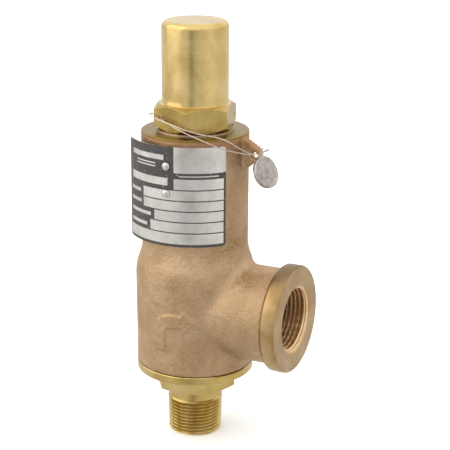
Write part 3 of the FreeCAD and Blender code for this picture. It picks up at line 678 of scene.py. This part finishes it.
def cut_closed(work, place, normal):
    """Cut the mesh by a plane, drop the side the normal points to, and fill the cut."""
    found = bmesh.ops.bisect_plane(
        work, geom=work.verts[:] + work.edges[:] + work.faces[:], dist=1e-6,
        plane_co=place, plane_no=normal, clear_outer=True)
    ring = [g for g in found["geom_cut"] if isinstance(g, bmesh.types.BMEdge)]
    bmesh.ops.triangle_fill(work, edges=ring, use_beauty=True, use_dissolve=False)


source = bpy.data.meshes.new("casting_source")
work = bmesh.new()
work.from_mesh(nodes["valve_body"].data)
bmesh.ops.remove_doubles(work, verts=work.verts, dist=2e-6)
cut_closed(work, (0, 0, RIM_CUT * MM), (0, 0, 1))
cut_closed(work, (COLLAR_CUT * MM, 0, 0), (1, 0, 0))
work.to_mesh(source)
work.free()

draft = bpy.data.objects.new("casting_draft", source)
bpy.context.scene.collection.objects.link(draft)
net = draft.modifiers.new("even net", "REMESH")
net.mode = "VOXEL"
net.voxel_size = VOXEL_MM * MM
relax = draft.modifiers.new("relax", "SMOOTH")
relax.factor = 0.5
relax.iterations = 2
graph = bpy.context.evaluated_depsgraph_get()
skin_mesh = bpy.data.meshes.new_from_object(draft.evaluated_get(graph))
bpy.data.objects.remove(draft)
print("points in the even net", len(skin_mesh.vertices))

# %% [markdown]
# ## Room for the machined ring
# The collar and its thread come later as a ring of their own.  The net is pushed out
# behind the thread, where it would show through, and its cut end is tucked in under the
# collar.

# %% Room for the machined ring
THREAD_BACK = 33.5               # where the thread ends inside the branch
RING_R = 17.3                    # outer radius of the threaded ring's sleeve

place = np.empty(len(skin_mesh.vertices) * 3, dtype=np.float32)
skin_mesh.vertices.foreach_get("co", place)
place = place.reshape(-1, 3) / MM
x, y, z = place[:, 0].copy(), place[:, 1].copy(), place[:, 2].copy()
from_outlet = np.hypot(y, z - OUTLET_Z)
swollen = np.where((x > THREAD_BACK) & (from_outlet < RING_R),
                   (RING_R + 0.1) / np.maximum(from_outlet, 1), 1)
y = y * swollen
z = OUTLET_Z + (z - OUTLET_Z) * swollen
tuck = np.clip((x - 45.0) / 0.6, 0, 1)
x = x + 1.2 * tuck * (x < 46.5)
print("points moved off the thread", int((swollen > 1).sum()))

# %% [markdown]
# ## Flow arrow
# A raised arrow shows which way the steam leaves: up, then a bend towards the outlet.
# It is cut in the wooden pattern, so it comes out of the mould with soft edges.  The
# outline is given in millimetres across the barrel and up it, and points inside it are
# moved out from the axis.

# %% Flow arrow
ARROW_TURN = math.radians(7.0)   # azimuth of the arrow's middle
ARROW_PROUD = 0.95
BARREL_LOW = (38.6, 28.75)       # height and radius at the barrel's foot
BARREL_GROWTH = 0.35 / 44.9      # radius gained per millimetre of height

arrow = np.array([(-10.4, 51.4), (-5.2, 51.4), (-5.2, 61.0), (-4.4, 62.8), (-2.6, 63.6),
                  (3.6, 63.6), (3.6, 60.4), (10.2, 66.8), (3.6, 73.2), (3.6, 70.0),
                  (-2.6, 70.0), (-6.6, 69.0), (-9.6, 66.2), (-10.4, 62.0)])
across = x * math.cos(ARROW_TURN) + y * math.sin(ARROW_TURN)
ahead = x * math.sin(ARROW_TURN) - y * math.cos(ARROW_TURN)
near = (ahead > 0) & (np.hypot(x, y) > 27.6) & (np.abs(across) < 14) & (z > 47) & (z < 77)


def depth_inside(points, outline):
    """Distance to the nearest side of the outline, positive inside and negative outside.

    A point is inside if a line to its right crosses the outline an odd number of times."""
    start = outline[None, :, :]
    side = np.roll(outline, -1, axis=0)[None, :, :] - start
    away = points[:, None, :] - start
    share = np.clip((away * side).sum(-1) / (side ** 2).sum(-1), 0, 1)
    nearest = np.linalg.norm(away - share[..., None] * side, axis=-1).min(axis=1)
    above = away[..., 1] >= 0
    next_above = np.roll(above, -1, axis=1)
    rise = np.where(side[..., 1] == 0, 1e-9, side[..., 1])
    meets = start[..., 0] + side[..., 0] * away[..., 1] / rise
    crossed = (above != next_above) & (points[:, None, 0] < meets)
    return np.where(crossed.sum(axis=1) % 2 == 1, nearest, -nearest)


depth = depth_inside(np.stack([across[near], z[near]], axis=1), arrow)
step = np.clip((depth + 0.35) / 0.7, 0, 1)
raised = step * step * (3 - 2 * step)
plain_r = BARREL_LOW[1] + (z[near] - BARREL_LOW[0]) * BARREL_GROWTH
old_r = np.hypot(x[near], y[near])
share = np.clip((depth + 3.4) / 1.2, 0, 1)
scale_r = (old_r * (1 - share) + (plain_r + ARROW_PROUD * raised) * share) / old_r
x[near] *= scale_r
y[near] *= scale_r
print("arrow points", int(near.sum()))

# %% [markdown]
# ## Waves in the skin
# Four sine waves of different lengths and directions are added up, so that no repeat can
# be seen.  They fade out at the foot, under the rim and behind the collar, where the
# casting has to meet its neighbours.

# %% Waves in the skin
WAVE_MM = 0.12
wave = (np.sin(x / 3.1 + y / 4.7 + 0.4) + np.sin(y / 3.7 - z / 5.3 + 1.9)
        + np.sin(z / 4.1 + x / 5.9 + 3.1) + np.sin((x + y - z) / 6.7 + 5.2)) / 4
outside = (np.hypot(x, y) > 25.2) | (x > 30)
away_from_foot = np.clip((z - 39.5) / 3, 0, 1) * np.clip((153.5 - z) / 3, 0, 1)
normal = np.empty(len(skin_mesh.vertices) * 3, dtype=np.float32)
skin_mesh.vertices.foreach_get("normal", normal)
normal = normal.reshape(-1, 3)
shift = (WAVE_MM * (wave - 0.4) * away_from_foot * outside * (1 - tuck))[:, None] * normal
place = np.stack([x, y, z], axis=1) + shift
skin_mesh.vertices.foreach_set("co", (place * MM).astype(np.float32).ravel())
skin_mesh.materials.clear()
skin = finish_mesh("body_casting", skin_mesh, CAST_BRONZE, "valve", sharp=80)
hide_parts("valve_body")

# %% [markdown]
# ## Machined parts of the body
# Two areas of the casting go under the cutter: the top face with its threaded boss, and
# the collar with the outlet thread.  Each is its own closed ring of metal sunk a little
# into the cast skin, so the line between rough and bright is as crisp as on the real
# part.  The outlet thread winds inwards and tapers like the pipe that screws into it.

# %% Faced rim and threaded boss
BOSS_PITCH = 1.5
BOSS_R = 14.0
boss_z = np.arange(155.9, 165.0, BOSS_PITCH / 12)
boss_r = BOSS_R - thread_depth(boss_z, BOSS_PITCH, 0.75, 155.6, 165.6)
rim = [(25.3, 154.2), (25.85, 154.3), (25.95, 154.5), (25.9, 154.75), (25.4, 155.15),
       (25.2, 155.2), (14.4, 155.2), (13.7, 155.3)]
bore = [(13.9, 165.0), (13.1, 165.6), (8.6, 165.6), (8.1, 165.1), (8.1, 154.2)]
profile = [rows_of(rim), (boss_r, boss_z), rows_of(bore)]
make_piece("body_machined_rim", [shell(rings_of(profile), closed=True)],
           RIM_BRONZE, "valve", sharp=28)

# %% Collar and outlet thread
OUTLET_PITCH = 2.209
along = np.arange(53.0, 34.6, -OUTLET_PITCH / 26)
root = 14.75 + (along - 43.6) * TAPER
cut = thread_depth(-along, OUTLET_PITCH, 1.5, -53.4, -THREAD_BACK)
thread_r = root[:, None] + cut
collar = [(46.2, 17.6), (45.9, 22.0), (45.8, 24.4), (46.0, 25.0), (46.5, 25.7),
          (47.3, 26.2), (53.2, 26.2), (53.8, 25.9), (54.2, 25.2), (54.2, 17.0),
          (53.6, 16.5)]
back = [(34.4, 14.5), (31.4, 17.05), (31.4, 17.6)]
profile = [rows_of([(radius, reach) for reach, radius in collar]), (thread_r, along),
           rows_of([(radius, reach) for reach, radius in back])]
turned = rings_of(profile)
collar_rings = np.stack([turned[..., 2], turned[..., 1], OUTLET_Z + turned[..., 0]], axis=-1)
collar_piece = make_piece("body_machined_collar", [shell(collar_rings, closed=True)],
                          COLLAR_BRONZE, "valve", sharp=28)
# The thread's faces get the paler colour that is painted fill light.
second_finish(collar_piece, THREAD_PAINTED_FILL, lambda x, y, z: np.hypot(y, z - OUTLET_Z) < 16.6)

# %% [markdown]
# ## Rating plate
# The plate is thin aluminium sheet, printed black and rolled to a curve slightly wider
# than the barrel, so its left end stands free.  Front and back are the same grid of
# points on two cylinders, and a strip round the border closes them.  A UV map in plate
# millimetres carries the print: black border, title panel, rules between the rows and
# label blocks.  All the fields are blank, and plain bars stand where words would be.

# %% Plate shape
PLATE_OUT = 31.1
PLATE_IN = 30.5
PLATE_FROM = -49.0
PLATE_SPAN = 104.5
PLATE_LOW = 104.0
PLATE_TALL = 48.2
PLATE_WIDE = math.radians(PLATE_SPAN) * PLATE_OUT
CORNER = 1.6
plate_centre = outward(34.0) * -(PLATE_IN - 25.95 - 0.15)

turn_in = CORNER * (1 - np.cos(np.linspace(0, np.pi / 2, 9)))
rise = np.concatenate([turn_in, np.linspace(CORNER, PLATE_TALL - CORNER, 90)[1:-1],
                       PLATE_TALL - turn_in[::-1]])
from_end = np.clip(np.minimum(rise, PLATE_TALL - rise), 0, CORNER)
inset = CORNER - np.sqrt(CORNER ** 2 - (CORNER - from_end) ** 2)
share = np.linspace(0, 1, 130)
arc = inset[:, None] + (PLATE_WIDE - 2 * inset)[:, None] * share[None, :]
level = np.broadcast_to(rise[:, None], arc.shape)


def on_plate(radius):
    """Arc length becomes an azimuth about the plate's own centre."""
    azimuth = math.radians(PLATE_FROM) + arc / PLATE_OUT
    return np.stack([plate_centre[0] + radius * np.sin(azimuth),
                     plate_centre[1] - radius * np.cos(azimuth), PLATE_LOW + level], axis=-1)


def slab(front, back):
    """Two grids of the same shape as the faces of a sheet, closed round the border."""
    rows, columns = front.shape[:2]
    index = np.arange(rows * columns).reshape(rows, columns)
    face = np.stack([index[:-1, :-1], index[:-1, 1:], index[1:, 1:], index[1:, :-1]],
                    axis=-1).reshape(-1, 4)
    border = np.concatenate([index[0, :], index[1:, -1], index[-1, -2::-1],
                             index[-2:0:-1, 0]])
    behind = border + rows * columns
    strip = np.stack([border, behind, np.roll(behind, -1), np.roll(border, -1)], axis=-1)
    points = np.concatenate([front.reshape(-1, 3), back.reshape(-1, 3)])
    return points, np.concatenate([face, face[:, ::-1] + rows * columns, strip]), []


# %% Plate print
def printed_plate():
    """Silver sheet with black ink inside boxes given in plate millimetres."""
    material, tree, shader = start_material("printed aluminium sheet")
    flat = add(tree, "UVMap", uv_map="plate_mm").outputs[0]
    place = add(tree, "TexCoord").outputs["Object"]
    tall, wide = PLATE_TALL, PLATE_WIDE

    def box(left, right, top, bottom):
        """1 inside a box whose top and bottom are fractions of the height from above."""
        centre = ((left + right) / 2, tall * (1 - (top + bottom) / 2), 0)
        half = ((right - left) / 2, tall * (bottom - top) / 2, 1)
        away = add(tree, "VectorMath", {0: flat, 1: centre}, operation="SUBTRACT")
        size = add(tree, "VectorMath", {0: away.outputs[0]}, operation="ABSOLUTE")
        ratio = add(tree, "VectorMath", {0: size.outputs[0], 1: half}, operation="DIVIDE")
        sides = add(tree, "SeparateXYZ", {0: ratio.outputs[0]})
        larger = add(tree, "Math", {0: sides.outputs[0], 1: sides.outputs[1]},
                     operation="MAXIMUM")
        return add(tree, "Math", {0: larger.outputs[0], 1: 1.0}, operation="LESS_THAN")

    def union(boxes):
        """The larger of all the boxes' masks."""
        total = box(*boxes[0]).outputs[0]
        for one in boxes[1:]:
            total = add(tree, "Math", {0: total, 1: box(*one).outputs[0]},
                        operation="MAXIMUM").outputs[0]
        return total

    rows = (0.425, 0.535, 0.64, 0.75, 0.86)
    ink_boxes = [(0.0, 1.0, 0, 1), (wide - 1.1, wide, 0.25, 1), (0, wide, 0.972, 1),
                 (0, 31.6, 0, 0.425), (31.0, wide, 0.255, 0.315),
                 (0, 14.1, 0.425, 0.64), (0, 21.2, 0.64, 0.75), (0, 18.6, 0.75, 0.86)]
    ink_boxes += [(0, wide, y - 0.006, y + 0.006) for y in rows]
    bar_boxes = [(5.0, 26.5, 0.085, 0.135), (9.0, 22.0, 0.170, 0.182),
                 (9.0, 22.0, 0.200, 0.212), (4.0, 28.5, 0.310, 0.385),
                 (34.0, 53.0, 0.280, 0.292), (3.0, 12.0, 0.465, 0.500),
                 (3.0, 12.5, 0.572, 0.607), (3.0, 19.0, 0.680, 0.715),
                 (3.0, 16.5, 0.790, 0.825)]
    ink = union(ink_boxes)
    bars = union(bar_boxes)
    clear = add(tree, "Math", {0: 1.0, 1: bars}, operation="SUBTRACT")
    worn = add(tree, "TexNoise", {"Vector": place, "Scale": 1000 / 0.8, "Detail": 2.0})
    whole = add(tree, "Math", {0: worn.outputs[0], 1: 0.30}, operation="GREATER_THAN")
    black = add(tree, "Math", {0: ink, 1: clear.outputs[0]}, operation="MULTIPLY")
    black = add(tree, "Math", {0: black.outputs[0], 1: whole.outputs[0]},
                operation="MULTIPLY").outputs[0]
    cells = add(tree, "TexVoronoi", {"Vector": place, "Scale": 1000 / 0.9})
    fleck = add(tree, "MapRange", {0: cells.outputs["Distance"], 1: 0.08, 2: 0.30,
                                   3: 1.0, 4: 0.0})
    cloud = add(tree, "TexNoise", {"Vector": place, "Scale": 1000 / 9, "Detail": 5.0,
                                   "Roughness": 0.65})
    gate = add(tree, "MapRange", {0: cloud.outputs[0], 1: 0.42, 2: 0.62, 3: 0.1, 4: 0.7})
    spots = add(tree, "Math", {0: fleck.outputs[0], 1: gate.outputs[0]},
                operation="MULTIPLY")
    silver = add(tree, "ValToRGB", {0: cloud.outputs[0]}, stops=[
        (0.35, "#C2BEB8"), (0.52, "#D0CCC6"), (0.68, "#DCD8D2")])
    spotted = add(tree, "Mix", {0: spots.outputs[0], 6: silver.outputs[0],
                                7: paint("#EFECE6")}, data_type="RGBA")
    colour = add(tree, "Mix", {0: black, 6: spotted.outputs[2], 7: paint("#393431")},
                 data_type="RGBA")
    tree.links.new(colour.outputs[2], shader.inputs["Base Color"])
    bare = add(tree, "Math", {0: 1.0, 1: black}, operation="SUBTRACT")
    tree.links.new(bare.outputs[0], shader.inputs["Metallic"])
    sheen = add(tree, "MapRange", {0: black, 3: 0.40, 4: 0.50})
    tree.links.new(sheen.outputs[0], shader.inputs["Roughness"])
    bump = add(tree, "Bump", {"Height": worn.outputs[0], "Distance": 0.00002})
    tree.links.new(bump.outputs[0], shader.inputs["Normal"])
    return material


plate = make_piece("rating_plate", [slab(on_plate(PLATE_OUT), on_plate(PLATE_IN))],
                   printed_plate(), "valve", sharp=40)
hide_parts("nameplate")
corner_of = np.empty(len(plate.data.loops), dtype=np.int32)
plate.data.loops.foreach_get("vertex_index", corner_of)
flat_mm = np.tile(np.stack([arc, level], axis=-1).reshape(-1, 2), (2, 1))
chart = plate.data.uv_layers.new(name="plate_mm")
chart.data.foreach_set("uv", flat_mm[corner_of].astype(np.float32).ravel())
print("plate is", round(PLATE_WIDE, 1), "by", PLATE_TALL, "mm")

# %% [markdown]
# ## Drive screws
# Two round-head drive screws are hammered through the plate into the casting.  Their
# heads are low domes with a small flat where the hammer met them.

# %% Drive screws
def stud(place, way, rows):
    """Rings of (radius, height) about a direction, standing on a point."""
    up = np.array([0, 0, 1.0])
    side = np.cross(way, up)
    angle = np.arange(48) * 2 * np.pi / 48
    table = np.array(rows)
    circle = side * np.cos(angle)[:, None] + up * np.sin(angle)[:, None]
    rings = (place + table[:, 1, None, None] * way
             + table[:, 0, None, None] * circle[None, :, :])
    return shell(rings)


dome = np.linspace(0, math.radians(80), 14)
head = [(0.2, -5.5), (1.2, -5.4), (1.2, 0.02)]
head += [(2.0 * math.cos(a) ** 0.9, 0.05 + 1.15 * math.sin(a)) for a in dome]
way = outward(2.0)
studs = [stud(plate_centre + way * PLATE_OUT + np.array([0, 0, height]), way, head)
         for height in (142.8, 129.6)]
screws = make_piece("plate_drive_screws", studs, DRIVE_STEEL, "valve")
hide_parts("nameplate_screws")

# %% [markdown]
# ## Lead seal
# Pliers squeeze a lead disc onto the wire ends and print a pattern into it.  The disc is
# a stack of rings whose height above the mid plane depends on radius and angle: a raised
# rim, a sunken field with a plain lattice, and a few dents.

# %% Lead seal
SEAL_R = 7.9
SEAL_CENTRE = np.array([39.2, -4.7, 139.5])
SEAL_FACING = 76.0               # azimuth that its face looks to, in degrees
SEAL_TILT = math.radians(23.7)
seal_face = outward(SEAL_FACING) * math.cos(SEAL_TILT) + np.array([0, 0, math.sin(SEAL_TILT)])
seal_across = sideways(SEAL_FACING)
seal_up = np.cross(seal_face, seal_across)

angle = np.arange(120) * 2 * np.pi / 120
radius_in = np.linspace(0.25, 7.35, 34)
lip = np.linspace(0, np.pi, 9)
radius_rows = np.concatenate([radius_in, 7.4 + 0.5 * np.sin(lip), radius_in[::-1]])
side_rows = np.concatenate([np.ones(34), np.cos(lip), -np.ones(34)])
wobble = 1 - 0.012 * (1 + np.sin(3 * angle + 1.0)) - 0.006 * (1 + np.sin(7 * angle))
radius_grid = radius_rows[:, None] * wobble[None, :]
flat_x = radius_grid * np.cos(angle)
flat_y = radius_grid * np.sin(angle)
field = np.clip((6.4 - radius_grid) / 0.5, 0, 1)
bead = np.exp(-((radius_grid - 6.9) / 0.35) ** 2)
lattice = np.cos(flat_x * 3.3 + 0.5) * np.cos(flat_y * 3.3)
dents = np.sin(flat_x * 1.7 + 2) * np.sin(flat_y * 2.3 + 1) + np.sin(flat_x * 0.9 - flat_y)
relief = 1.08 + 0.10 * bead - 0.16 * field + 0.10 * lattice * field + 0.03 * dents
height = relief * side_rows[:, None]
seal_rings = (SEAL_CENTRE + flat_x[..., None] * seal_across + flat_y[..., None] * seal_up
              + height[..., None] * seal_face)
seal = make_piece("lead_seal_pressed", [shell(seal_rings)], LEAD, "seal",
                  sharp=60)
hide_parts("lead_seal")

# %% [markdown]
# ## Seal wire
# One thin wire is doubled and twisted.  It goes through a corner of the cap's hexagon,
# down to the ear of the body, through its hole and into the lead.  Each strand follows
# a smooth line through a few route points, and two fine wires wind round that line.  A
# cap cannot turn far without breaking the wire, which is the point of it.

# %% Wire routes
def smooth_line(points):
    """Points along the smooth curve that the route points pull, in millimetres."""
    curve = bpy.data.curves.new("route", "CURVE")
    curve.dimensions = "3D"
    curve.resolution_u = 24
    spline = curve.splines.new("NURBS")
    spline.points.add(len(points) - 1)
    table = np.concatenate([np.array(points), np.ones((len(points), 1))], axis=1)
    spline.points.foreach_set("co", table.astype(np.float32).ravel())
    spline.order_u = 3
    spline.use_endpoint_u = True
    holder = bpy.data.objects.new("route", curve)
    line = bpy.data.meshes.new_from_object(holder)
    path = np.empty(len(line.vertices) * 3, dtype=np.float32)
    line.vertices.foreach_get("co", path)
    bpy.data.objects.remove(holder)
    return path.reshape(-1, 3).astype(float)


hole = outward(HOLE_TURN) * HOLE_OUT + np.array([0, 0, HOLE_Z])
hole_way = sideways(HOLE_TURN)
hole_out = outward(HOLE_TURN)
up = np.array([0, 0, 1.0])
mouth = SEAL_CENTRE + seal_up * SEAL_R
front_route = [hole - hole_way * 0.5, hole + hole_way * 5.4 - up * 0.4,
               (3.6, -22.2, 158.8), (15.8, -22.1, 155.2),
               (22.6, -17.0, 151.2), (27.6, -9.8, 148.4), (31.0, -4.6, 146.7),
               mouth - seal_across * 0.75 + seal_up * 1.5,
               mouth - seal_across * 0.75 - seal_up * 1.4]
back_route = [hole + hole_way * 0.5, hole - hole_way * 5.2 + up * 0.3,
              hole - hole_way * 4.6 + hole_out * 3.4 + up * 0.5,
              hole + hole_way * 1.0 + hole_out * 4.2 + up * 0.5,
              (1.6, -22.4, 160.6), (12.2, -19.4, 157.4), (20.2, -16.4, 156.5),
              (24.6, -13.6, 154.0), (27.4, -9.4, 150.6), (31.0, -4.4, 147.0),
              (31.8, 0.0, 146.0), (33.4, 3.9, 146.4), (37.6, 3.2, 148.2),
              (37.6, -0.6, 149.2), mouth + seal_across * 0.75 + seal_up * 1.2,
              mouth + seal_across * 0.75 - seal_up * 1.4]
tail_route = [mouth - seal_up * 1.4, mouth + seal_up * 2.0, (37.3, -4.4, 150.2),
              (38.1, -4.0, 151.0)]
lines = [smooth_line(route) for route in (front_route, back_route, tail_route)]
twisted = [tube_shell(line, 0.19, sides=8, turn=start, offset=0.17, twist_mm=2.2)
           for line in lines for start in (0.0, math.pi)]
wire = make_piece("seal_wire_twisted", twisted, WIRE, None, sharp=60)
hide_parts("seal_wire")
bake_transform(wire)
lengths = [round(float(np.linalg.norm(np.diff(line, axis=0), axis=1).sum()), 1)
           for line in lines]
print("wire lengths in mm", lengths)

# %% [markdown]
# ## Spring
# Inside the body a steel spring holds the disc down.  Its ends are closed and ground
# flat.  The coil is a circle carried round a helix whose climb slows down at both ends,
# and the ground ends come from clipping the height.

# %% Spring
SPRING_LOW = 98.42
SPRING_HIGH = 137.58
WIRE_R = 2.25
COIL_R = 14.6
TURNS = 7.0
along = np.linspace(0, 1, 700)
wind = along * TURNS * 2 * np.pi
ease = np.clip((along * TURNS - 0.75) / (TURNS - 1.5), 0, 1)
climb = 0.85 * ease + 0.15 * along
low, high = SPRING_LOW + 1.0, SPRING_HIGH - 1.0
level = low + (high - low) * climb
section = np.arange(20) * 2 * np.pi / 20
radius = COIL_R + WIRE_R * np.cos(section)[None, :]
coil_z = np.clip(level[:, None] + WIRE_R * np.sin(section)[None, :], SPRING_LOW, SPRING_HIGH)
coil = np.stack([radius * np.cos(wind)[:, None], radius * np.sin(wind)[:, None], coil_z],
                axis=-1)
spring = make_piece("pressure_spring", [shell(coil)], ZINC, "valve")
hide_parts("spring")
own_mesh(spring)

# %% [markdown]
# ## Finishes for the rest
# The remaining nodes keep the frame's own shapes, which are already right for turned
# parts, and get the finish that belongs to each: brass for what slides, stainless steel
# for what carries load, rubber for what seals.

# %% Finishes on frame nodes
finishes = {
    "nozzle_seal_ring": RUBBER, "seat_insert": RUBBER,
    "disc_guide": INNER_BRASS, "disc_holder": INNER_BRASS, "lower_spring_step": INNER_BRASS,
    "upper_spring_step": INNER_BRASS, "adjusting_screw": INNER_BRASS,
    "jam_nut": INNER_BRASS, "cap_gasket": GASKET, "guide_snap_ring": ZINC,
    "insert_washer": STEEL, "insert_screw": STEEL, "stem": STEEL, "stem_pin": STEEL,
}
for name, material in finishes.items():
    node = nodes[name]
    node.data.materials.clear()
    node.data.materials.append(material)
print("frame nodes dressed", len(finishes))
